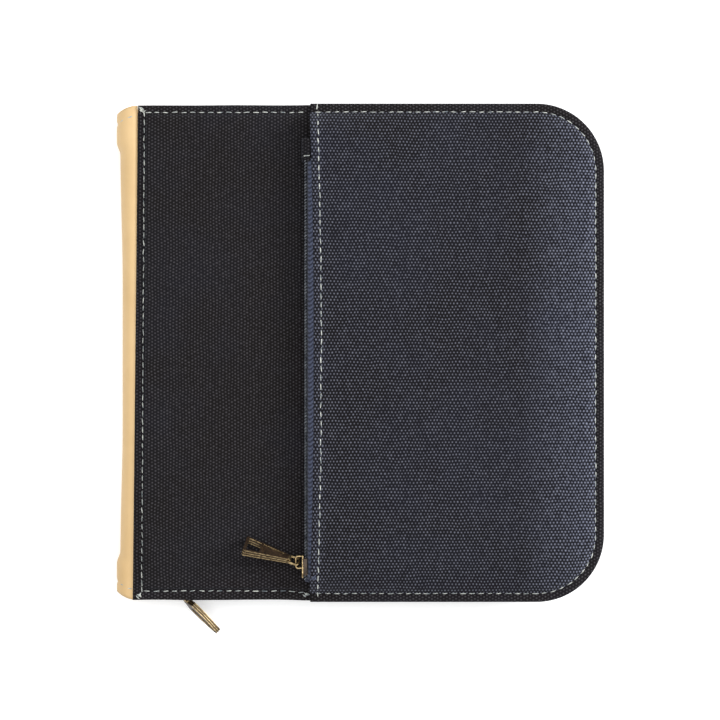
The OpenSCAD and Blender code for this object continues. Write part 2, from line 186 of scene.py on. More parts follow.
def woven_finish(name, dark, middle, light, pitch_x, pitch_y, blush, wear_and_light_bands=()):
    """Plain weave: a thread crown in every second cell, with slubs and faded patches. The crowns are
    painted lighter as highlight and the gaps between them darker as shade. Bands (from x, to x) pale
    the cloth towards an edge: real rubbing along a fold, painted highlight on a slope facing the light."""
    material, tree, shader = new_finish(name, 0.92, Specular_IOR_Level=0.12, Sheen_Weight=0.08,
                                        Sheen_Roughness=0.4, Sheen_Tint=(0.75, 0.8, 1, 1))
    place = shader_node(tree, "TexCoord").outputs["Object"]
    drift = shader_node(tree, "TexNoise", Vector=place, Scale=110, Detail=2)
    drift = shader_node(tree, "VectorMath", {"operation": "MULTIPLY_ADD"}, in0=drift.outputs["Color"],
                        in1=(1.3 * mm, 1.3 * mm, 0), in2=place)
    axes = shader_node(tree, "SeparateXYZ", Vector=drift.outputs[0]).outputs
    waves = [sum_of(tree, "SINE", sum_of(tree, "MULTIPLY", axes[axis], math.pi / pitch))
             for axis, pitch in (("X", pitch_x), ("Y", pitch_y))]
    heavy = waves[0] if pitch_x > pitch_y else waves[1]
    ridge = sum_of(tree, "MULTIPLY", heavy, heavy)
    crown = sum_of(tree, "MULTIPLY_ADD", ridge, 0.9, sum_of(tree, "MULTIPLY", *waves))
    raised = shader_node(tree, "MapRange", Value=crown, From_Min=-0.1, From_Max=1.75, To_Max=0.85).outputs[0]
    slub = cloud_of(tree, place, 620, 3, 0.7)
    level = sum_of(tree, "ADD", sum_of(tree, "MULTIPLY_ADD", slub, 1.05, raised), -0.505)
    # The colour follows the thread height: crowns painted lighter as their highlight, gaps darker as their
    # shade, with slubs that vary it at random.
    colour = shades(tree, level, (0.12, dark), (0.5, middle), (0.9, light))
    fade = cloud_of(tree, place, 22, 4, 0.65)
    patch = shader_node(tree, "MapRange", Value=fade, From_Min=0.42, From_Max=0.75).outputs[0]
    colour = lighten(tree, colour, patch, blush)
    # Each band pales the cloth towards an edge: painted highlight on a slope towards the light, real rubbing
    # along a fold.
    for start, end in wear_and_light_bands:
        pale = shader_node(tree, "MapRange", Value=axes["X"], From_Min=start, From_Max=end, To_Max=0.75)
        colour = lighten(tree, colour, sum_of(tree, "MULTIPLY", pale.outputs[0], level), (0.105, 0.118, 0.165))
    colour_and_bump(tree, shader, colour, 0.8, 0.2 * mm, level)
    return material


base_cloth = woven_finish("base_canvas", (0.0068, 0.0057, 0.0060), (0.0175, 0.0155, 0.0165),
                          (0.052, 0.049, 0.054), 1.30 * mm, 0.71 * mm, (0.002, 0.003, 0.006))
# The pocket's copy of the canvas is painted lighter and bluer than the cover's: painted sheen of its turned
# weave towards the side light. Its first band is painted highlight where the panel rolls down to its right
# seam; its second is real rubbing along the folded edge.
pocket_cloth_painted_lighter = woven_finish("pocket_canvas", (0.0055, 0.0050, 0.0062), (0.022, 0.0208, 0.0255),
                            (0.112, 0.118, 0.148), 0.71 * mm, 1.30 * mm, (0.003, 0.004, 0.008),
                            ((64 * mm, 94 * mm), (-17 * mm, -31 * mm)))


def at_inset(place, now, then, spine_ratio=1.0):
    """Moves a point of a cover's outline straight across the rim, from one inset to another."""
    x, y = place.x, place.y
    bend = Vector((far - corner_r, math.copysign(top - corner_r, y), 0))
    if x > bend.x and abs(y) > abs(bend.y):
        out = Vector((x - bend.x, y - bend.y, 0)).normalized() * (corner_r - then)
        return Vector((bend.x + out.x, bend.y + out.y, place.z))
    near = 0.3 * mm
    if abs(x - left - now * spine_ratio) < near:
        x = left + then * spine_ratio
    if abs(far - now - x) < near:
        x = far - then
    if abs(top - now - abs(y)) < near:
        y = math.copysign(top - then, y)
    return Vector((x, y, place.z))


def rounded_sheet(edge, inset, cell):
    """Flat grid with a cover's outline taken in by inset, from x = edge to its far side."""
    made = bmesh.new()
    width = far - inset - edge
    height = 2 * (top - inset)
    bmesh.ops.create_grid(made, x_segments=round(width / cell), y_segments=round(height / cell), size=0.5)
    bmesh.ops.scale(made, vec=(width, height, 1), verts=made.verts)
    bmesh.ops.translate(made, vec=(edge + width / 2, 0, 0), verts=made.verts)
    for side in (-1, 1):
        bend = Vector((far - corner_r, side * (top - corner_r), 0))
        for step in range(1, corner_steps):
            turn = math.radians(90) * step / corner_steps
            out = Vector((math.cos(turn), side * math.sin(turn), 0))
            bmesh.ops.bisect_plane(made, geom=[*made.verts, *made.edges, *made.faces], dist=1e-6,
                                   plane_co=bend + out * (corner_r - inset), plane_no=out, clear_outer=True)
    bmesh.ops.remove_doubles(made, verts=made.verts, dist=cell * 0.2)
    for vert in made.verts:
        if vert.is_boundary:
            vert.co = at_inset(vert.co, inset, inset)
    return made


def rim_edges(made, open_edge=None):
    """The sheet's outer edges, without those along x = open_edge."""
    return [e for e in made.edges if e.is_boundary and
            (open_edge is None or any(abs(v.co.x - open_edge) > 1e-5 for v in e.verts))]


def draw_out(made, edges):
    """Extrudes edges in place. Gives the new points and the new edges between them."""
    grown = bmesh.ops.extrude_edge_only(made, edges=edges)["geom"]
    fresh = {g for g in grown if isinstance(g, bmesh.types.BMVert)}
    return fresh, [g for g in grown if isinstance(g, bmesh.types.BMEdge) and set(g.verts) <= fresh]


def extrude_rim(made, edges, now, profile, spine_ratio=1.0):
    """Carries the outer edges along a rim profile of (inset, height) steps, one row of faces each."""
    for inset, height in profile:
        fresh, edges = draw_out(made, edges)
        for vert in fresh:
            vert.co = at_inset(vert.co, now, inset, spine_ratio)
            vert.co.z = height
        now = inset


def face_towards(made, up):
    """Turns the faces of an open sheet so that their average looks up (+1) or down (-1)."""
    bmesh.ops.recalc_face_normals(made, faces=made.faces)
    if sum(f.normal.z * f.calc_area() for f in made.faces) * up < 0:
        bmesh.ops.reverse_faces(made, faces=made.faces)


def make_piece(name, made, body, slot, *materials, in_cad=True):
    """Turns a mesh into a piece that rides on a body and, if CAD has it, stands for its node."""
    mesh = bpy.data.meshes.new(name)
    made.to_mesh(mesh)
    made.free()
    for material in materials:
        mesh.materials.append(material)
    mesh.shade_smooth()
    piece = bpy.data.objects.new(name, mesh)
    bpy.context.scene.collection.objects.link(piece)
    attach(piece, body)
    if in_cad:
        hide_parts(name)
    return piece


def give_thickness(piece, thickness, offset=-1.0):
    wall = piece.modifiers.new("thickness", "SOLIDIFY")
    wall.thickness = thickness
    wall.offset = offset


board_inset = 6.4 * mm
rim_profile = [(5.9, 0.00), (5.4, -0.05), (5.0, -0.22), (4.65, -0.6), (4.4, -1.1), (4.1, -1.5),
               (3.7, -1.78), (3.35, -1.95), (3.1, -2.02), (2.85, -1.93), (2.5, -1.78), (1.9, -1.68),
               (1.2, -1.68), (0.6, -1.8), (0.2, -2.02), (0.0, -2.3), (0.05, -2.55), (0.35, -2.68),
               (1.5, -2.7), (4.0, -2.7)]
edge_pull = 1.1 * mm
edge_slant = 0.75 * mm
seam_pull = 0.9 * mm


def drawn_in(place):
    """How far hand-fed sewing has drawn the front canvas aside: a slant at the spine, a bend below."""
    near_spine = max(0.0, 1 - max(0.0, place.x - left) / (9 * mm))
    below = math.exp(-((top + place.y - seam_inset) / (2.4 * mm)) ** 2)
    across = max(0.0, min(1.0, (-26 * mm - place.x) / (8 * mm)))
    return Vector((edge_slant * place.y / top * near_spine, seam_pull * below * across, 0))


def cover_canvas(name, flip, body):
    """A cover's canvas with its rim, modelled as the upper one. flip turns it over to the back."""
    ratio = spine_seam / seam_inset
    made = rounded_sheet(left + board_inset * ratio, board_inset, 3 * mm)
    for vert in made.verts:
        vert.co.z = case_top
        if not vert.is_boundary:
            vert.co.z += 0.18 * mm * noise.noise(vert.co * 38)
    profile = [(inset * mm, case_top + lift * mm) for inset, lift in rim_profile]
    extrude_rim(made, rim_edges(made), board_inset, profile, ratio)
    for vert in made.verts:
        wander = 0.22 * mm * noise.noise(Vector((vert.co.x * 60, vert.co.y * 60, 3)))
        edge_near = max(0.0, 1 - (top - abs(vert.co.y)) / (4 * mm))
        vert.co.y += wander * edge_near
        if not flip:
            vert.co += drawn_in(vert.co)
            vert.co.x -= edge_pull * max(0.0, 1 - (vert.co.x - left) / (2.2 * mm))
    if flip:
        bmesh.ops.scale(made, vec=(1, 1, -1), verts=made.verts)
        bmesh.ops.translate(made, vec=(0, 0, case_top), verts=made.verts)
    face_towards(made, -1 if flip else 1)
    piece = make_piece(name, made, body, "base_canvas", base_cloth)
    give_thickness(piece, cloth_t)


cover_canvas("front_canvas", False, "front_cover")
cover_canvas("back_canvas", True, "back_cover")

# ----------------------------------------------------------------------------- stitching thread
# Off-white twisted cotton thread in a long lockstitch: each stitch lies bowed on the cloth and
# dives into its needle hole at both ends. One row is one piece, sewn by machine, so that the
# stitches lie at an even pitch and only twist and wander a little.

thread_r = 0.225 * mm
stitch_length = 2.62 * mm
rim_pitch = 3.82 * mm
spine_pitch = 3.43 * mm
chance = random.Random(7)


def thread_finish():
    material, tree, shader = new_finish("sewing_thread", 0.75, Specular_IOR_Level=0.25)
    place = shader_node(tree, "TexCoord").outputs["Object"]
    soil = cloud_of(tree, place, 420, 4, 0.7)
    colour = shades(tree, soil, (0.36, (0.15, 0.18, 0.20)), (0.62, (0.70, 0.72, 0.66)))
    colour_and_bump(tree, shader, colour, 0.5, 0.08 * mm, cloud_of(tree, place, 5200, 1))
    return material


thread = thread_finish()


def stitch_mesh(length, radius, bow):
    """One stitch along X, bowed upwards, with its ends sunk into their holes."""
    made = bmesh.new()
    bmesh.ops.create_circle(made, cap_ends=True, radius=radius, segments=6)
    bmesh.ops.rotate(made, cent=(0, 0, 0), matrix=Matrix.Rotation(math.pi / 2, 3, "Y"), verts=made.verts)
    cap = list(made.faces)
    steps = 7
    sizes = [0.45 + 0.55 * math.sqrt(math.sin(math.pi * (i + 0.35) / (steps + 0.7)))
             for i in range(steps + 1)]
    spots = [Vector((length * (i / steps - 0.5), 0, bow * math.sin(math.pi * i / steps) - bow * 0.5))
             for i in range(steps + 1)]
    bmesh.ops.scale(made, vec=(sizes[0],) * 3, verts=made.verts)
    bmesh.ops.translate(made, vec=spots[0], verts=made.verts)
    for i in range(steps):
        grown = bmesh.ops.extrude_face_region(made, geom=cap)["geom"]
        bmesh.ops.delete(made, geom=cap if i else [], context="FACES_ONLY")
        cap = [g for g in grown if isinstance(g, bmesh.types.BMFace)]
        verts = [g for g in grown if isinstance(g, bmesh.types.BMVert)]
        bmesh.ops.translate(made, vec=spots[i + 1] - spots[i], verts=verts)
        bmesh.ops.scale(made, vec=(1, sizes[i + 1] / sizes[i], sizes[i + 1] / sizes[i]), verts=verts,
                        space=Matrix.Translation(-spots[i + 1]))
    bmesh.ops.recalc_face_normals(made, faces=made.faces)
    mesh = bpy.data.meshes.new("stitch")
    made.to_mesh(mesh)
    made.free()
    return mesh


def stamp(made, mesh, place):
    """Adds a copy of a small mesh at a place."""
    copy = mesh.copy()
    copy.transform(place)
    made.from_mesh(copy)
    bpy.data.meshes.remove(copy)


one_stitch = stitch_mesh(stitch_length, thread_r, 0.36 * mm)


def sew(made, places, wander=0.1 * mm):
    """Stitches along a row of places, each with X along the seam and Z out of the cloth."""
    for place in places:
        shift = Matrix.Translation((chance.uniform(-1, 1) * wander, chance.uniform(-1, 1) * wander, 0))
        twist = Matrix.Rotation(math.radians(chance.gauss(2, 4)), 4, "Z")
        size = Matrix.Diagonal((chance.uniform(0.86, 1.1), chance.uniform(0.85, 1.1), 1, 1))
        stamp(made, one_stitch, place @ shift @ twist @ size)


def knot(made, spot, count):
    """Thread ends knotted and trimmed: short pieces that lie across each other."""
    for _ in range(count):
        shift = Matrix.Translation((chance.uniform(-1.1, 1.1) * mm, chance.uniform(-0.9, 0.9) * mm, 0))
        turn = Matrix.Rotation(chance.uniform(0, math.pi), 4, "Z")
        size = Matrix.Diagonal((chance.uniform(0.45, 0.8), 0.8, chance.uniform(1, 1.6), 1))
        stamp(made, one_stitch, Matrix.Translation(spot) @ shift @ turn @ size)


def rim_walk(inset, pitch, start, end, height, ends=False):
    """Places at an even pitch round the free sides of a cover, from x = start on its upper side
    to x = end on its lower side, with X along the walk, Y inwards and Z up. With ends, the first
    and last place are the ends themselves, otherwise they lie half a pitch inside."""
    radius = corner_r - inset
    bend_x = far - corner_r
    bend_y = top - corner_r
    runs = [bend_x - start, radius * math.pi / 2, 2 * bend_y, radius * math.pi / 2, bend_x - end]
    count = round(sum(runs) / pitch)
    places = []
    for i in range(count + 1 if ends else count):
        rest = sum(runs) * (i if ends else i + 0.5) / count
        run = 0
        while run < 4 and rest > runs[run]:
            rest -= runs[run]
            run += 1
        turn = (0, rest / radius, math.pi / 2, math.pi / 2 + rest / radius, math.pi)[run]
        x = {0: start + rest, 2: far - inset, 4: bend_x - rest}.get(run, bend_x + radius * math.sin(turn))
        y = {0: top - inset, 2: bend_y - rest, 4: inset - top}.get(
            run, (bend_y if run == 1 else -bend_y) + radius * math.cos(turn))
        places.append(Matrix.Translation((x, y, height)) @ Matrix.Rotation(-turn, 4, "Z"))
    return places


def turn_over(places):
    """The same places on the back cover, whose outer face looks down."""
    flip = Matrix.Diagonal((1, -1, -1, 1))
    return [Matrix.Translation((p.translation.x, p.translation.y, case_top - p.translation.z))
            @ p.to_3x3().to_4x4() @ flip for p in places]


pocket_low, pocket_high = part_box("pocket_panel")
pocket_edge = pocket_low.x
stitch_bed = case_top - 1.98 * mm
spine_bed = case_top - 1.86 * mm


def spine_row():
    count = int(2 * (top - 1.2 * mm) / spine_pitch)
    return [Matrix.Translation((left + spine_seam, (count / 2 - 0.5 - i) * spine_pitch, spine_bed))
            @ Matrix.Rotation(math.pi / 2, 4, "Z") for i in range(count)]


def rim_row():
    return rim_walk(seam_inset, rim_pitch, left + spine_seam, left + spine_seam, stitch_bed)


def thread_piece(name, body, places, wander=0.1 * mm, in_cad=True):
    made = bmesh.new()
    sew(made, places, wander)
    make_piece(name, made, body, "thread", thread, in_cad=in_cad)


front_rim_row = [p for p in rim_row() if p.translation.x < pocket_edge - 2.4 * mm]
front_spine_row = spine_row()
for place in front_rim_row + front_spine_row:
    place.translation += drawn_in(place.translation)
thread_piece("front_rim_thread", "front_cover", front_rim_row)
thread_piece("back_rim_thread", "back_cover", turn_over(rim_row()))
knot_z = case_top - 1.62 * mm
bm = bmesh.new()
sew(bm, front_spine_row)
for side in (-1, 1):
    knot(bm, (left + 1.4 * mm + side * 0.4 * mm, side * (top - 1.9 * mm), knot_z), 7)
knot(bm, (pocket_edge - 3.4 * mm, 2.1 * mm - top, knot_z), 6)
make_piece("front_spine_thread", bm, "front_cover", "thread", thread)
thread_piece("back_spine_thread", "back_cover", turn_over(spine_row()))

# ------------------------------------------------------------------------------ the outer pocket
# A second panel of the same canvas, turned a quarter so that its heavy threads run up the case.
# Three of its sides are sewn into the rim; its fourth is folded under, topstitched, and carries
# the zip. The board below is flat, so the panel stands up at the zip and rolls down at the rim.

fold_top = pocket_high.z
fold_bow = 1.9 * mm
fold_in = 0.3 * mm
pocket_seam = 2.9 * mm
pocket_bed = rim_top + 0.85 * mm
pocket_inset = 3.1 * mm
roll_width = 4.2 * mm
roll_height = 3.5 * mm
fold_reach = 45 * mm
turned_t = 4.4 * mm


def fold_shift(y):
    """How far the folded edge swings out towards the ends of the zip."""
    return fold_in - fold_bow * min(1.0, abs(y) / top) ** 2.6


def fold_pull(place):
    """How much of that reaches a place of the panel."""
    return fold_shift(place.y) * max(0.0, 1 - (place.x - pocket_edge) / fold_reach)


def rim_inset(x, y):
    """How far a place lies inside a cover's outline."""
    bend = Vector((x - far + corner_r, abs(y) - top + corner_r))
    return corner_r - bend.length if min(bend) > 0 else min(far - x, top - abs(y))


def pocket_height(x, y):
    """Height of the panel's outer face over the table."""
    across = min(1.0, max(0.0, (x - pocket_edge) / (far - pocket_edge)))
    inset = max(0.0, rim_inset(x, y) - pocket_inset)
    roll = min(1.0, inset / roll_width)
    crest = fold_top - 0.15 * mm - (fold_top - case_top - turned_t) * across ** 0.8
    reach = 11 * mm + 30 * mm * across
    swell = math.sin(math.pi / 2 * min(1.0, inset / reach))
    edge_height = pocket_bed + roll_height * math.sqrt(1 - (1 - roll) ** 2)
    height = edge_height + max(0.0, crest - pocket_bed - roll_height) * swell
    ripple = 0.5 * noise.noise(Vector((x * 22, y * 15, 5))) + 0.16 * noise.noise(Vector((x * 60, y * 45, 9)))
    calm = 0.35 + 0.65 * min(1.0, (x - pocket_edge) / (20 * mm))
    height += ripple * mm * min(1.0, inset / (14 * mm)) * calm
    seam_away = (x - pocket_edge - pocket_seam - fold_shift(y)) / (1.1 * mm)
    return height - 0.3 * mm * math.exp(-seam_away ** 2)


bm = rounded_sheet(pocket_edge, pocket_inset, 1.6 * mm)
for vert in bm.verts:
    vert.co.z = pocket_height(vert.co.x + fold_pull(vert.co), vert.co.y)
rim_rise = [(2.85, 0.10), (2.5, 0.24), (1.9, 0.33), (1.2, 0.32), (0.5, 0.2), (0.0, -0.05), (-0.45, -0.35),
            (-0.6, -0.75), (-0.5, -1.05), (0.2, -1.2), (2.6, -1.22)]
outer_rim = rim_edges(bm, pocket_edge)
extrude_rim(bm, outer_rim, pocket_inset, [(inset * mm, pocket_bed + rise * mm) for inset, rise in rim_rise])
for vert in bm.verts:
    vert.co.x += fold_pull(vert.co)
face_towards(bm, 1)
fold = [e for e in bm.edges if e.is_boundary and abs(e.verts[0].co.y) < top - 1.4 * mm
        and all(v.co.x < pocket_edge + 0.3 * mm for v in e.verts)]
for out, down in ((-0.2, 0.28), (-0.08, 0.5), (0.15, 0.55), (0.9, 0.25), (4.0, 0.15)):
    fresh, fold = draw_out(bm, fold)
    bmesh.ops.translate(bm, vec=(out * mm, 0, -down * mm), verts=list(fresh))
for face in bm.faces:
    spot = face.calc_center_median()
    face.material_index = 1 if rim_inset(spot.x, spot.y) < pocket_inset - 0.1 * mm else 0
pocket_panel = make_piece("pocket_panel", bm, "front_cover", "pocket_canvas", pocket_cloth_painted_lighter, base_cloth)
give_thickness(pocket_panel, cloth_t)


def edge_row():
    """The topstitching beside the fold, which climbs from the rim over the panel's shoulder."""
    places = []
    y = top - 1.0 * mm
    while y > -top + 0.6 * mm:
        x = pocket_edge + pocket_seam + fold_shift(y)
        bed = [max(pocket_bed + 0.15 * mm, pocket_height(x, y + step)) for step in (-0.6 * mm, 0.6 * mm)]
        slope = math.atan2(bed[1] - bed[0], 1.2 * mm)
        places.append(Matrix.Translation((x, y, sum(bed) / 2 + 0.12 * mm))
                      @ Matrix.Rotation(math.pi / 2, 4, "Z") @ Matrix.Rotation(-slope, 4, "Y"))
        y -= rim_pitch
    return places


thread_piece("pocket_edge_thread", "front_cover", edge_row(), 0.16 * mm)
pocket_rim_row = rim_walk(seam_inset, rim_pitch, pocket_edge, pocket_edge, pocket_bed + 0.1 * mm)
thread_piece("pocket_rim_thread", "front_cover", pocket_rim_row, in_cad=False)

# ------------------------------------------------------------------------------------ the spine
# One strip of smooth vegetable-tanned leather wraps the back of the case, from under one cover
# to under the other. Its two ends are turned in and sewn down, so they stand out a little more
# than the middle. A navy cloth strip lines its inside.

spine_low, spine_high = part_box("spine_leather")
wrap_x = spine_high.x
wrap_r = (spine_high.z - spine_low.z) / 2
mid_z = (spine_high.z + spine_low.z) / 2
wrap_out = 7.0 * mm
wrap_flare = 1.0 * mm
hem_step = 1.5 * mm
wrap_end = 104.9 * mm
end_round = 3.4 * mm
hem_width = 4.4 * mm
leather_t = 1.1 * mm


def leather_finish(name, base, shade):
    material, tree, shader = new_finish(name, 0.5, Specular_IOR_Level=0.3)
    place = shader_node(tree, "TexCoord").outputs["Object"]
    colour = shades(tree, cloud_of(tree, place, 35, 5, 0.6), (0.3, shade), (0.62, base))
    grain = shader_node(tree, "TexVoronoi", Vector=place, Scale=1500).outputs["Distance"]
    height = sum_of(tree, "MULTIPLY_ADD", grain, 0.6, cloud_of(tree, place, 2600, 2))
    colour_and_bump(tree, shader, colour, 0.22, 0.06 * mm, height)
    return material


tan_leather = leather_finish("tan_leather", (0.735, 0.515, 0.262), (0.66, 0.45, 0.218))


def lining_finish(name, dark, light, pitch):
    """Closely woven smooth cloth with a slight sheen."""
    material, tree, shader = new_finish(name, 0.7, Specular_IOR_Level=0.3, Sheen_Weight=0.1)
    place = shader_node(tree, "TexCoord").outputs["Object"]
    axes = shader_node(tree, "SeparateXYZ", Vector=place).outputs
    waves = [sum_of(tree, "SINE", sum_of(tree, "MULTIPLY", axis, math.pi / pitch))
             for axis in (axes["X"], sum_of(tree, "ADD", axes["Y"], axes["Z"]))]
    crown = sum_of(tree, "MULTIPLY", *waves)
    level = sum_of(tree, "MULTIPLY_ADD", crown, 0.25, cloud_of(tree, place, 260, 4))
    colour = shades(tree, level, (0.25, dark), (0.8, light))
    colour_and_bump(tree, shader, colour, 0.3, 0.05 * mm, level)
    return material


navy_lining = lining_finish("navy_lining", (0.010, 0.012, 0.020), (0.028, 0.033, 0.052), 0.32 * mm)


def wrap_place(turn, share, inside, length):
    """A point of the wrap: turn goes from its upper edge (0) round to its lower one (pi)."""
    away = abs(share) * length
    flare = min(1.0, max(0.0, (away - 30 * mm) / (60 * mm)))
    hem = min(1.0, max(0.0, (away - 87.5 * mm) / (5 * mm)))
    widening = wrap_flare * flare * flare * (3 - 2 * flare) + hem_step * hem * hem * (3 - 2 * hem)
    out = wrap_out + widening - inside
    y = share * (length - end_round * math.sin(turn) ** 1.6)
    crease = math.exp(-((length - hem_width - away) / (0.55 * mm)) ** 2)
    press = 0.45 * mm * crease * math.sin(turn)
    lift = (wrap_r - inside) * math.cos(turn)
    return Vector((wrap_x - (out - press) * math.sin(turn) ** 0.82, y, mid_z + lift))


def wrap_sheet(inside, length, rows):
    """Half-round sheet spun round the wrap's middle line and drawn to its real bulge."""
    made = bmesh.new()
    ends = [made.verts.new((wrap_x, side, mid_z + wrap_r)) for side in (-1, 1)]
    line = made.edges.new(ends)
    bmesh.ops.subdivide_edges(made, edges=[line], cuts=rows)
    bmesh.ops.spin(made, geom=[*made.verts, *made.edges], cent=(wrap_x, 0, mid_z), axis=(0, -1, 0),
                   angle=math.pi, steps=20)
    bmesh.ops.remove_doubles(made, verts=made.verts, dist=1e-6)
    for vert in made.verts:
        turn = math.atan2(max(0.0, wrap_x - vert.co.x), vert.co.z - mid_z)
        vert.co = wrap_place(turn, vert.co.y, inside, length)
    bmesh.ops.recalc_face_normals(made, faces=made.faces)
    if sum(f.normal.x * f.calc_area() for f in made.faces) > 0:
        bmesh.ops.reverse_faces(made, faces=made.faces)
    return made


wrap = wrap_sheet(0, wrap_end, 150)
spine_leather = make_piece("spine_leather", wrap, "spine", "leather", tan_leather)
give_thickness(spine_leather, leather_t)
wrap = wrap_sheet(leather_t + 0.1 * mm, wrap_end - 2.5 * mm, 90)
spine_lining = make_piece("spine_lining", wrap, "spine", "lining", navy_lining)
give_thickness(spine_lining, 0.4 * mm)

bm = bmesh.new()
for side in (-1, 1):
    for step in range(6):
        turn = math.radians(16 + 29.6 * step)
        spots = [wrap_place(turn + bend, side * (1 - hem_width / wrap_end), 0.16 * mm, wrap_end)
                 for bend in (-0.02, 0.02)]
        along = (spots[1] - spots[0]).normalized()
        out = along.cross(Vector((0, 1, 0))).normalized()
        out = out if out.x < 0 else -out
        axes = Matrix((along, out.cross(along), out)).transposed().to_4x4()
        sew(bm, [Matrix.Translation((spots[0] + spots[1]) / 2) @ axes])
spine_hem_thread = make_piece("spine_hem_thread", bm, "spine", "thread", thread, in_cad=False)

for piece in (spine_leather, spine_lining, spine_hem_thread):
    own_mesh(piece)


def soft_strip(low, high, edge, cell):
    """Flat strip of leather or cloth with rounded edges, between two corners."""
    made = bmesh.new()
    bmesh.ops.create_cube(made, size=1)
    size = high - low
    bmesh.ops.scale(made, vec=size, verts=made.verts)
    bmesh.ops.translate(made, vec=(low + high) / 2, verts=made.verts)
    bmesh.ops.bevel(made, geom=list(made.edges), offset=edge, segments=2, profile=0.5, affect="EDGES",
                    material=-1)
    for axis in range(3):
        cuts = int(size[axis] / cell)
        for i in range(1, cuts):
            at = Vector((0, 0, 0))
            at[axis] = low[axis] + size[axis] * i / cuts
            normal = Vector((axis == 0, axis == 1, axis == 2))
            bmesh.ops.bisect_plane(made, geom=[*made.verts, *made.edges, *made.faces], plane_co=at,
                                   plane_no=normal)
    for vert in made.verts:
        vert.co.z += 0.12 * mm * noise.noise(Vector((vert.co.x * 45, vert.co.y * 45, 2)))
    return made


for name, body in (("front_spine_margin", "front_cover"), ("back_spine_margin", "back_cover")):
    low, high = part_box(name)
    strip = soft_strip(low + Vector((0.05, 0, 0.1)) * mm, high - Vector((0, 0, 0.1)) * mm, 0.35 * mm, 6 * mm)
    make_piece(name, strip, body, "leather", tan_leather)

# ---------------------------------------------------------------------------------- the two zips
# Both zips have navy herringbone-ribbed tapes with a nylon coil sewn along one edge. The main
# zip's tapes are sewn in under the linings and stand as a wall round three sides; the pocket's
# run from the fold of the panel down to the cover.

tape_t = 0.5 * mm
coil_pitch = 1.26 * mm
coil_wire = 0.3 * mm
coil_loop = 0.58 * mm
wall_inset = 6.8 * mm
chain_out = 0.98 * mm
bead_mid = 1.4 * mm
rib_pitch = 1.9 * mm


def tape_finish():
    material, tree, shader = new_finish("zip_tape", 0.8, Specular_IOR_Level=0.2, Sheen_Weight=0.15)
    place = shader_node(tree, "TexCoord").outputs["Object"]
    axes = shader_node(tree, "SeparateXYZ", Vector=place).outputs
    slant = sum_of(tree, "MULTIPLY_ADD", axes["X"], -1.6, axes["Y"])
    slant = sum_of(tree, "MULTIPLY_ADD", axes["Z"], 1.6, slant)
    rib = sum_of(tree, "SINE", sum_of(tree, "MULTIPLY", slant, 2 * math.pi / rib_pitch))
    level = sum_of(tree, "MULTIPLY_ADD", rib, 0.28, cloud_of(tree, place, 1700, 3))
    colour = shades(tree, level, (0.2, (0.016, 0.019, 0.035)), (0.85, (0.085, 0.10, 0.16)))
    colour_and_bump(tree, shader, colour, 0.5, 0.12 * mm, level)
    return material


def coil_finish():
    material, tree, shader = new_finish("zip_coil", 0.32, Specular_IOR_Level=0.6)
    scuff = cloud_of(tree, shader_node(tree, "TexCoord").outputs["Object"], 500, 3)
    colour = shades(tree, scuff, (0.35, (0.030, 0.034, 0.045)), (0.7, (0.17, 0.185, 0.205)))
    tree.links.new(colour, shader.inputs["Base Color"])
    return material


tape_cloth = tape_finish()
coil_nylon = coil_finish()


def sweep(made, profile, places, closed=False):
    """Draws a profile of (across, up) points along places, one row of faces for each step."""
    spots = [made.verts.new(places[0] @ Vector((0, across, up))) for across, up in profile]
    pairs = list(zip(spots, spots[1:])) + ([(spots[-1], spots[0])] if closed else [])
    edges = [made.edges.new(pair) for pair in pairs]
    first = list(edges)
    for here, there in zip(places, places[1:]):
        fresh, edges = draw_out(made, edges)
        bmesh.ops.transform(made, matrix=there @ here.inverted(), verts=list(fresh))
    return first, edges


def coil_turn():
    """One turn of the coil, wound along X, with its outer half leaning over."""
    made = bmesh.new()
    bmesh.ops.create_circle(made, radius=coil_wire, segments=6)
    bmesh.ops.translate(made, vec=(coil_loop, 0, 0), verts=made.verts)
    bmesh.ops.rotate(made, cent=(0, 0, 0), matrix=Matrix.Rotation(math.pi / 2, 3, "X"), verts=made.verts)
    bmesh.ops.spin(made, geom=[*made.verts, *made.edges], cent=(0, 0, 0), axis=(0, 0, 1),
                   dvec=(0, 0, coil_pitch / 8), angle=2 * math.pi, steps=8)
    bmesh.ops.rotate(made, cent=(0, 0, 0), matrix=Matrix.Rotation(math.pi / 2, 3, "Y"), verts=made.verts)
    bmesh.ops.translate(made, vec=(-coil_pitch / 2, 0, 0), verts=made.verts)
    bmesh.ops.scale(made, vec=(1, 0.74, 1), verts=made.verts)
    bmesh.ops.recalc_face_normals(made, faces=made.faces)
    mesh = bpy.data.meshes.new("coil_turn")
    made.to_mesh(mesh)
    made.free()
    return mesh


one_turn = coil_turn()


def coil_along(places, side):
    """The coil on one side of the chain's middle line: side is 1 above it and -1 below it."""
    made = bmesh.new()
    shift = coil_pitch / 4 * side
    for place in places:
        stamp(made, one_turn, place @ Matrix.Translation((shift, -chain_out, side * bead_mid)))
    return made


def tape_piece(name, body, places, profile):
    made = bmesh.new()
    sweep(made, [(across * mm, up * mm) for across, up in profile], places)
    bmesh.ops.recalc_face_normals(made, faces=made.faces)
    give_thickness(make_piece(name, made, body, "zip_tape", tape_cloth), tape_t, 0)


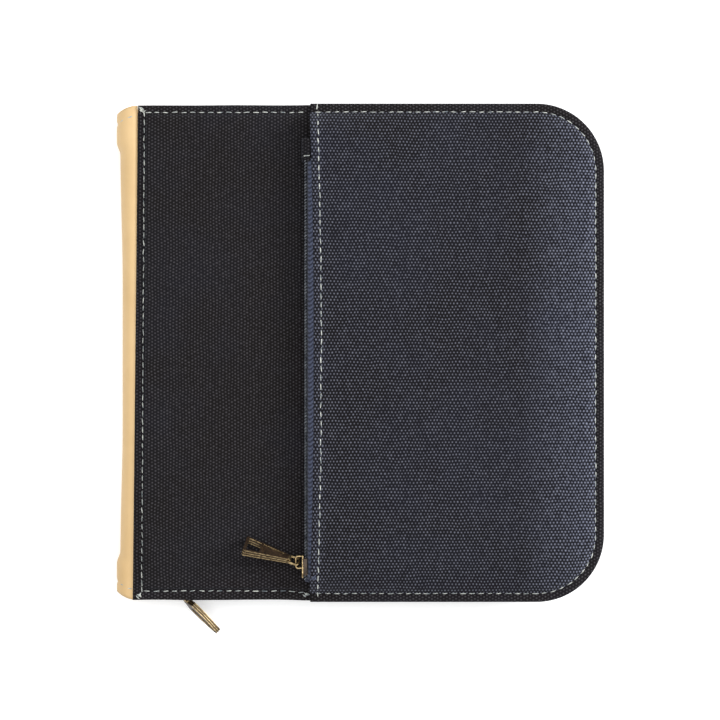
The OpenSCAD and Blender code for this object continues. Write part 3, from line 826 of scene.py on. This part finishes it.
wall_profile = [(0, 0.9), (0, 2.4), (0, 4.0), (0, 5.1), (-0.15, 5.55), (-0.6, 5.85), (-2.6, 5.9),
                (-5.6, 5.9)]
inner_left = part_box("back_zip_coil")[0].x
part_upper = -85.3 * mm
part_lower = -77.8 * mm
for name, body, side, starts in (("front", "front_cover", 1, (part_upper, part_lower)),
                                 ("back", "back_cover", -1, (inner_left, inner_left))):
    walk = rim_walk(wall_inset, 3 * mm, *starts, mid_z, ends=True)
    tape_piece(name + "_zip_tape", body, walk, [(across, side * up) for across, up in wall_profile])
    chain = coil_along(rim_walk(wall_inset, coil_pitch, *starts, mid_z), side)
    make_piece(name + "_zip_coil", chain, body, "zip_coil", coil_nylon)


def straight_walk(start, end, pitch, turn, ends=False):
    """Places at an even pitch on a straight line, turned about Z, with X along the walk."""
    count = max(1, round((end - start).length / pitch))
    return [Matrix.Translation(start.lerp(end, (i if ends else i + 0.5) / count))
            @ Matrix.Rotation(turn, 4, "Z") for i in range(count + 1 if ends else count)]


for name, side in (("zip_end_lower", -1), ("zip_end_upper", 1)):
    low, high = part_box(name)
    turn = 0 if side > 0 else math.pi
    ends = [Vector((x, side * (top - wall_inset), mid_z)) for x in (low.x, high.x)][::side]
    walk = straight_walk(*ends, 2 * mm, turn, True)
    tape_piece(name, "back_cover", walk, [(0, 0.9), (0, 2.4), (0, 4.2), (0, 5.1)])
    chain = coil_along(straight_walk(*ends, coil_pitch, turn), 1)
    make_piece(name + "_coil", chain, "back_cover", "zip_coil", coil_nylon, in_cad=False)

zip_low, zip_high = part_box("pocket_coil_upper")
zip_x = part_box("pocket_tape_lower")[0].x + 0.3 * mm
zip_z = (zip_low.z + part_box("pocket_coil_lower")[1].z) / 2
zip_out = 0.3 * mm
zip_top = Vector((zip_x - zip_out, zip_high.y + 1.5 * mm, zip_z))
zip_foot = Vector((zip_x - zip_out, zip_low.y, zip_z))
upper_tape = [(0.0, 1.0), (0.15, 1.9), (0.75, 2.75), (1.5, 3.3), (2.35, 3.62), (3.5, 3.7)]
lower_tape = [(0.0, -1.0), (0.05, -2.4), (0.15, -4.2), (0.6, -4.85), (2.5, -5.0), (7.0, -5.0)]
for name, side, profile in (("upper", 1, upper_tape), ("lower", -1, lower_tape)):
    walk = straight_walk(zip_top, zip_foot, 4 * mm, -math.pi / 2, True)
    tape_piece("pocket_tape_" + name, "front_cover", walk, profile)
    chain = coil_along(straight_walk(zip_top, zip_foot, coil_pitch, -math.pi / 2), side)
    make_piece("pocket_coil_" + name, chain, "front_cover", "zip_coil", coil_nylon)

# The upper end of the pocket's zip is covered by a folded tab of canvas, held by one bar stitch.
tab_low, tab_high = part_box("pocket_zip_tab")
tab_x = zip_x - 2.9 * mm
tab_stitch = tab_low.y + 2.5 * mm
tab_profile = [(0.0, 1.5), (-0.1, 6.4), (0.2, 7.6), (0.9, 8.5), (2.0, 9.4), (3.0, 10.0), (3.7, 10.1),
               (3.9, 9.4), (3.9, 5.0), (3.9, 1.5), (2.0, 1.2)]
tab_base = tab_low.z - 1.1 * mm
bm = bmesh.new()
tab_ends = [Vector((tab_x, y, tab_base)) for y in (tab_high.y - 0.2 * mm, tab_low.y + 0.2 * mm)]
head, foot = sweep(bm, [(across * mm, up * mm) for across, up in tab_profile],
                   straight_walk(*tab_ends, 0.7 * mm, -math.pi / 2, True), True)
bmesh.ops.holes_fill(bm, edges=head + foot, sides=0)
bmesh.ops.recalc_face_normals(bm, faces=bm.faces)
for vert in bm.verts:
    end = min(tab_high.y - vert.co.y, vert.co.y - tab_low.y)
    round_off = 0.9 * mm * max(0.0, 1 - end / (1.6 * mm)) ** 2
    vert.co.x += round_off * 0.4
    vert.co.z -= round_off
    vert.co.z -= 0.35 * mm * math.exp(-((vert.co.y - tab_stitch) / (0.7 * mm)) ** 2)
make_piece("pocket_zip_tab", bm, "front_cover", "base_canvas", base_cloth)
bm = bmesh.new()
bar_turn = Matrix.Rotation(math.radians(-38), 4, "Y")
stamp(bm, one_stitch, Matrix.Translation((tab_x + 2.0 * mm, tab_stitch, tab_base + 9.25 * mm))
      @ bar_turn @ Matrix.Diagonal((1.25, 1.15, 1.1, 1)))
make_piece("tab_thread", bm, "front_cover", "thread", thread, in_cad=False)

# Its lower end is cut raw: a row of loose tape threads below the sewn stop.
stop_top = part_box("pocket_zip_stop")[1].y
fray_count = 34
bm = bmesh.new()
for _ in range(fray_count):
    radius = chance.uniform(0.1, 0.17) * mm
    length = chance.uniform(1.6, 3.0) * mm
    fibre = bmesh.ops.create_cone(bm, cap_ends=True, segments=5, radius1=radius, radius2=radius * 0.5,
                                  depth=length)
    share = chance.random()
    spot = Vector((zip_x - 1.5 * mm + 2.2 * mm * share, stop_top + chance.uniform(-0.4, 0.2) * mm,
                   zip_z - 1.5 * mm + 3.6 * mm * share + chance.uniform(-0.5, 0.3) * mm))
    lean = Matrix.Rotation(math.pi / 2 + chance.gauss(0.25, 0.3), 4, "X")
    lean @= Matrix.Rotation(chance.gauss(0, 0.35), 4, "Y")
    bmesh.ops.transform(bm, matrix=Matrix.Translation(spot) @ lean, verts=fibre["verts"])
make_piece("pocket_zip_stop", bm, "front_cover", "zip_tape", tape_cloth)

# ------------------------------------------------------------------------------- sliders and pulls
# Both zips have a cast slider of antique brass: two plates joined by a post, flanges that fold in
# beside the coil, and an arched crown that holds a wire ring with the pull. Dark patina stays in
# the grooves and on the flat faces, and the edges are rubbed bright. The slider's flanges are dark
# on every face and its plates on their flat faces: patina, and painted shade of its shadow by the coil.

pull_ridges = 5
groove_lap = 0.04 * mm
slider_width = 7.0 * mm
slider_half = 4.7 * mm
plate_t = 0.65 * mm
crown_wall = 0.65 * mm
crown_width = 1.6 * mm
crown_length = 5.6 * mm
crown_shift = 1.7 * mm
crown_crest = 5.75 * mm
pivot_out = 4.15 * mm
ring_wire = 0.45 * mm
ring_width = 5.4 * mm
ring_length = 4.6 * mm
ring_bend = 1.0 * mm
knuckle_r = 1.15 * mm
knuckle_width = 3.2 * mm
knuckle_bore = 0.55 * mm


def brass_finish(name, worn, patina, roughness, metal):
    material, tree, shader = new_finish(name, roughness, Metallic=metal, Specular_IOR_Level=0.5)
    cloud = cloud_of(tree, shader_node(tree, "TexCoord").outputs["Object"], 900, 5, 0.65)
    colour = shades(tree, cloud, (0.36, patina), (0.60, worn))
    colour_and_bump(tree, shader, colour, 0.3, 0.05 * mm, cloud)
    return material


rubbed_brass = brass_finish("rubbed_brass", (0.50, 0.38, 0.20), (0.10, 0.060, 0.026), 0.34, 0.95)
dark_brass = brass_finish("dark_brass", (0.055, 0.032, 0.016), (0.014, 0.009, 0.006), 0.42, 0.35)


def metal_plate(outline, low, high, edge, hole=None, dark=0.9):
    """Plate of an outline from z = low to high with rounded edges. Its flat faces are dark."""
    made = bmesh.new()
    loops = []
    for line in (outline, hole or []):
        spots = [made.verts.new((x, y, low)) for x, y in line]
        loops.append([made.edges.new(pair) for pair in zip(spots, spots[1:] + spots[:1])])
    if hole:
        bmesh.ops.bridge_loops(made, edges=loops[0] + loops[1])
    else:
        bmesh.ops.edgeloop_fill(made, edges=loops[0])
    grown = bmesh.ops.extrude_face_region(made, geom=list(made.faces))["geom"]
    fresh = [g for g in grown if isinstance(g, bmesh.types.BMVert)]
    bmesh.ops.translate(made, vec=(0, 0, high - low), verts=fresh)
    bmesh.ops.recalc_face_normals(made, faces=made.faces)
    sharp = [e for e in made.edges if e.calc_face_angle(0) > 0.5]
    bmesh.ops.bevel(made, geom=sharp, offset=edge, segments=2, profile=0.5, affect="EDGES", material=-1)
    for face in made.faces:
        face.material_index = 1 if abs(face.normal.z) > dark else 0
    return made


def join_into(whole, part, place):
    """Adds a finished part to a piece at a place, and lets the part go."""
    mesh = bpy.data.meshes.new("part")
    part.to_mesh(mesh)
    part.free()
    stamp(whole, mesh, place)
    bpy.data.meshes.remove(mesh)


def slider_outline(width):
    tail = width - 1.4 * mm
    half = slider_half
    return [(-half, -width / 2 + mm), (-half + mm, -width / 2), (0, -width / 2), (half, -tail / 2),
            (half, tail / 2), (0, width / 2), (-half + mm, width / 2), (-half, width / 2 - mm)]


def bar_outline(x0, x1, y0, y1):
    return [(x0, y0), (x1, y0), (x1, y1), (x0, y1)]


def slider_mesh(plate_out):
    made = bmesh.new()
    lay = Matrix.Rotation(-math.pi / 2, 4, "X")
    plate = slider_outline(slider_width)
    # The outer plate's flat faces take the dark finish: patina, and painted shade of the slider's shadowed
    # side.
    join_into(made, metal_plate(plate, plate_out, plate_out + plate_t, 0.2 * mm), lay)
    # The flanges take the dark finish on every face: painted shade, for they lie in the shadow beside the
    # coil.
    for side in (-1, 1):
        flange = sorted((side * 2.6 * mm, side * 3.35 * mm))
        bar = bar_outline(-3.6 * mm, 3.4 * mm, *flange)
        join_into(made, metal_plate(bar, 0.55 * mm, plate_out + 0.3 * mm, 0.18 * mm, dark=-1), lay)
    join_into(made, metal_plate(slider_outline(6 * mm), -1.25 * mm, -0.5 * mm, 0.22 * mm, dark=2), lay)
    post = bar_outline(-3.6 * mm, -1.3 * mm, -0.3 * mm, 0.3 * mm)
    join_into(made, metal_plate(post, -0.8 * mm, plate_out + 0.3 * mm, 0.08 * mm, dark=2), lay)
    return made


def round_corner(centre, radius, start, end, steps):
    """Places round a bend, each with X along the walk."""
    turns = [start + (end - start) * i / steps for i in range(steps + 1)]
    return [Matrix.Translation((centre[0] + radius * math.sin(turn), centre[1] - radius * math.cos(turn), 0))
            @ Matrix.Rotation(turn, 4, "Z") for turn in turns]


def crown_mesh(foot):
    """The crown: a flat bar bent into an arch, from y = foot up to its crest."""
    half = crown_length / 2 - crown_wall / 2
    bend = 1.0 * mm
    top_y = crown_crest - crown_wall / 2
    walk = [Matrix.Translation((half, foot, 0)) @ Matrix.Rotation(math.pi / 2, 4, "Z")]
    walk += round_corner((half - bend, top_y - bend), bend, math.pi / 2, math.pi, 6)
    walk += round_corner((bend - half, top_y - bend), bend, math.pi, 1.5 * math.pi, 6)
    walk.append(Matrix.Translation((-half, foot, 0)) @ Matrix.Rotation(1.5 * math.pi, 4, "Z"))
    thick, wide, cut = crown_wall / 2, crown_width / 2, 0.2 * mm
    bar = [(thick - cut, -wide), (thick, cut - wide), (thick, wide - cut), (thick - cut, wide),
           (cut - thick, wide), (-thick, wide - cut), (-thick, cut - wide), (cut - thick, -wide)]
    made = bmesh.new()
    first, last = sweep(made, bar, [Matrix.Translation((crown_shift, 0, 0)) @ p for p in walk], True)
    bmesh.ops.holes_fill(made, edges=first + last, sides=0)
    bmesh.ops.recalc_face_normals(made, faces=made.faces)
    return made


def ring_mesh():
    """Wire ring bent to a rounded rectangle, its near bar on the pivot."""
    half = ring_width / 2 - ring_wire
    walk = []
    for x, y, start in ((half - ring_bend, ring_bend, 0), (half - ring_bend, ring_length - ring_bend, 1),
                        (ring_bend - half, ring_length - ring_bend, 2), (ring_bend - half, ring_bend, 3)):
        walk += round_corner((x, y), ring_bend, start * math.pi / 2, (start + 1) * math.pi / 2, 6)
    wire = [(ring_wire * math.cos(math.pi * i / 5), ring_wire * math.sin(math.pi * i / 5)) for i in range(10)]
    made = bmesh.new()
    sweep(made, wire, walk + walk[:1], True)
    bmesh.ops.remove_doubles(made, verts=made.verts, dist=1e-6)
    bmesh.ops.recalc_face_normals(made, faces=made.faces)
    return made


def circle_outline(radius, count=24):
    return [(radius * math.cos(2 * math.pi * i / count), radius * math.sin(2 * math.pi * i / count))
            for i in range(count)]


def pull_mesh(outer, inset, opening, window, crossbar, thick, length):
    """A pull built of ridges and grooves, with a bored knuckle at the ring and a sunk face."""
    made = bmesh.new()
    step = thick / pull_ridges
    faces = (0, pull_ridges - 1)
    for i in range(pull_ridges):
        low = step * i - thick / 2
        if i % 2:
            layer = metal_plate(inset, low - groove_lap, low + step + groove_lap, 0.03 * mm, window, dark=-1)
        else:
            layer = metal_plate(outer, low, low + step, 0.13 * mm, opening if i in faces else window)
        join_into(made, layer, Matrix.Identity(4))
        if crossbar and i in faces:
            join_into(made, metal_plate(crossbar, low, low + step, 0.12 * mm), Matrix.Identity(4))
    for vert in made.verts:
        share = (vert.co.y - ring_length) / (length - ring_length)
        vert.co.z *= 1 + (2 * knuckle_r / thick - 1) * (1 - share)
    barrel = metal_plate(circle_outline(knuckle_r), -knuckle_width / 2, knuckle_width / 2, 0.15 * mm,
                         circle_outline(knuckle_bore), dark=2)
    join_into(made, barrel, Matrix.Translation((0, ring_length, 0)) @ Matrix.Rotation(math.pi / 2, 4, "Y"))
    return made


def leaf_outline(width, length, tip, shoulder, neck, foot):
    """Outline that ends in a tapered, rounded tip, from y = foot."""
    neck_top = max(foot + 0.1 * mm, shoulder - 2.2 * mm)
    side = [(neck, foot), (neck, neck_top), (width / 2, shoulder), (width / 2, 0.62 * length)]
    turns = [math.pi * (0.06 + 0.11 * i) for i in range(9)]
    arc = [(tip * math.cos(turn), length - tip + tip * math.sin(turn)) for turn in turns]
    return side + arc + [(-x, y) for x, y in reversed(side)]


def wedge_outline(near, far_width, foot, length, cut):
    """Outline that widens to a square end with its corners cut off."""
    return [(near, foot), (far_width / 2, length - cut), (far_width / 2 - cut, length),
            (cut - far_width / 2, length), (-far_width / 2, length - cut), (-near, foot)]


leaf_width = 6.8 * mm
leaf_thick = 2.3 * mm
leaf_length = 24 * mm
leaf_shoulder = 8.05 * mm
leaf_edge = leaf_outline(leaf_width, leaf_length, 1.5 * mm, leaf_shoulder, knuckle_width / 2, ring_length)
leaf_groove = leaf_outline(leaf_width - 0.55 * mm, leaf_length - 0.28 * mm, 1.3 * mm, leaf_shoulder + 0.1 * mm,
                           knuckle_width / 2 - 0.25 * mm, ring_length)
leaf_face = leaf_outline(leaf_width - 2.2 * mm, leaf_length - 1.1 * mm, 0.95 * mm, leaf_shoulder + 1.6 * mm,
                         1.3 * mm, leaf_shoulder + 1.1 * mm)
wedge_width = 10 * mm
wedge_thick = 3 * mm
wedge_length = 24 * mm
face_width = wedge_width - 2.3 * mm
face_end = wedge_length - 1.2 * mm
bar_top = 17.2 * mm
bar_foot = 16.1 * mm
wedge_edge = wedge_outline(knuckle_width / 2, wedge_width, ring_length, wedge_length, 0.7 * mm)
wedge_groove = wedge_outline(knuckle_width / 2 - 0.25 * mm, wedge_width - 0.55 * mm, ring_length,
                             wedge_length - 0.28 * mm, 0.6 * mm)
wedge_face = wedge_outline(1.25 * mm, face_width, 6.9 * mm, face_end, 0.3 * mm)
wedge_window = wedge_outline(2.85 * mm, face_width, bar_top, face_end, 0.3 * mm)
wedge_bar = [(-3.1 * mm, bar_foot), (3.1 * mm, bar_foot), (3.4 * mm, bar_top), (-3.4 * mm, bar_top)]
main_pull = pull_mesh(leaf_edge, leaf_groove, leaf_face, None, None, leaf_thick, leaf_length)
pocket_pull = pull_mesh(wedge_edge, wedge_groove, wedge_face, wedge_window, wedge_bar, wedge_thick,
                        wedge_length)

# The pull hangs turned and leant from its ring's pivot, and the slider sits under that.
pulls = (("main", "X", math.pi, 45, 20, main_pull, 1.92 * mm),
         ("pocket", "Z", math.pi / 2, 17, 32, pocket_pull, 2.15 * mm))
for name, axis, spin, turn, lean, pull, plate_out in pulls:
    pivot = next(j for j in frame["joints"] if j["name"] == name + "_pull_swing")["pos_m"]
    seat = Matrix.Translation(pivot) @ Matrix.Rotation(spin, 4, axis)
    slider_at = seat @ Matrix.Translation((-crown_shift, -pivot_out, 0))
    hang = seat @ Matrix.Rotation(math.radians(-turn), 4, "Z") @ Matrix.Rotation(math.radians(-lean), 4, "Y")
    hang @= Matrix.Rotation(-math.pi / 2, 4, "Y")
    parts = ((name + "_slider_body", slider_mesh(plate_out), slider_at, name + "_slider"),
             (name + "_slider_cap", crown_mesh(plate_out + 0.2 * mm), slider_at, name + "_slider"),
             (name + "_pull_ring", ring_mesh(), hang, name + "_pull"),
             (name + "_pull", pull, hang, name + "_pull"))
    for node, made, place, body in parts:
        made.transform(place)
        piece = make_piece(node, made, body, "brass", rubbed_brass, dark_brass)
        piece.data.set_sharp_from_angle(angle=math.radians(32))

# ----------------------------------------------------------------------------- inside the covers
# Each cover is lined with navy cloth, sewn in over the zip tape. A long canvas sleeve is stitched
# to it on three sides and left open towards the spine, and thin leather pockets are sewn on that.

lining_t = 0.4 * mm
sleeve_inset = 13 * mm
sleeve_stitch = 14.3 * mm
pocket_t = 0.5 * mm
inside_pitch = 3.6 * mm
thin_leather = leather_finish("thin_leather", (0.60, 0.41, 0.21), (0.50, 0.33, 0.16))


def board_finish():
    material, tree, shader = new_finish("board", 0.85, Specular_IOR_Level=0.2)
    pulp = cloud_of(tree, shader_node(tree, "TexCoord").outputs["Object"], 420, 5)
    colour = shades(tree, pulp, (0, (0.16, 0.125, 0.085)), (1, (0.34, 0.28, 0.20)))
    tree.links.new(colour, shader.inputs["Base Color"])
    return material


grey_board = board_finish()
for name in ("back_board", "front_board"):
    board = frame["nodes"][name].data
    board.materials.clear()
    board.materials.append(grey_board)

for name, up, body in (("back_lining", 1, "back_cover"), ("front_lining", -1, "front_cover")):
    low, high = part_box(name)
    made = rounded_sheet(low.x, 0.7 * mm, 3 * mm)
    for vert in made.verts:
        vert.co.z = (high.z if up > 0 else low.z) - up * 0.05 * mm
        vert.co.z += up * 0.05 * mm * noise.noise(vert.co * 60)
    face_towards(made, up)
    lining = make_piece(name, made, body, "lining", navy_lining)
    give_thickness(lining, lining_t)

inside_threads = {"back_cover": bmesh.new(), "front_cover": bmesh.new()}


def sew_inside(places, up, body):
    face = Matrix.Identity(4) if up > 0 else Matrix.Diagonal((1, -1, -1, 1))
    sew(inside_threads[body], [p @ face for p in places], 0.06 * mm)


for name, up, body in (("ticket_sleeve", 1, "back_cover"), ("document_sleeve", -1, "front_cover")):
    low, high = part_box(name)
    made = rounded_sheet(low.x, sleeve_inset, 3 * mm)
    face_z = high.z if up > 0 else low.z
    for vert in made.verts:
        edge = min(far - vert.co.x, top - abs(vert.co.y)) - sleeve_inset
        sink = 0.35 * mm * math.exp(-((edge - 1.3 * mm) / (1.5 * mm)) ** 2)
        vert.co.z = face_z - up * (sink + 0.06 * mm)
    face_towards(made, up)
    sleeve = make_piece(name, made, body, "inner_cloth", base_cloth)
    give_thickness(sleeve, pocket_t)
    open_end = low.x + 2 * mm
    seam = rim_walk(sleeve_stitch, inside_pitch, open_end, open_end, face_z - up * 0.2 * mm)
    sew_inside(seam, up, body)


def slip_pocket(name, up, body, slot, finish):
    """A pocket's panel, open at its upper edge and sewn down along the other three."""
    low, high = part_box(name)
    size = high - low
    made = bmesh.new()
    cell = 3 * mm
    bmesh.ops.create_grid(made, x_segments=round(size.x / cell), y_segments=round(size.y / cell), size=0.5)
    bmesh.ops.scale(made, vec=(size.x, size.y, 1), verts=made.verts)
    bmesh.ops.translate(made, vec=((low.x + high.x) / 2, (low.y + high.y) / 2, 0), verts=made.verts)
    corners = [v for v in made.verts if v.is_boundary and len(v.link_edges) == 2]
    bmesh.ops.bevel(made, geom=corners, offset=2.2 * mm, segments=3, profile=0.5, affect="VERTICES",
                    material=-1)
    face_z = high.z if up > 0 else low.z
    for vert in made.verts:
        edge = min(vert.co.x - low.x, high.x - vert.co.x, vert.co.y - low.y)
        vert.co.z = face_z - up * (0.04 * mm + 0.2 * mm * math.exp(-(edge / (1.3 * mm)) ** 2))
    face_towards(made, up)
    give_thickness(make_piece(name, made, body, slot, finish), cloth_t)
    seam = Vector((1.3, 1.3, 0)) * mm
    low += seam
    high -= seam
    bed = face_z - up * 0.08 * mm
    corners = ((low.x, high.y), (low.x, low.y), (high.x, low.y), (high.x, high.y))
    turns = [Vector((x, y, bed)) for x, y in corners]
    for start, end in zip(turns, turns[1:]):
        away = math.atan2(end.y - start.y, end.x - start.x)
        sew_inside(straight_walk(start, end, inside_pitch, away), up, body)


slip_pocket("passport_pocket", 1, "back_cover", "inner_leather", thin_leather)
slip_pocket("pen_sleeve", 1, "back_cover", "inner_cloth", navy_lining)
for i in range(1, 5):
    slip_pocket("card_pocket_" + str(i), -1, "front_cover", "inner_leather", thin_leather)
for body, made in inside_threads.items():
    make_piece(body.replace("cover", "inside_thread"), made, body, "thread", thread, in_cad=False)
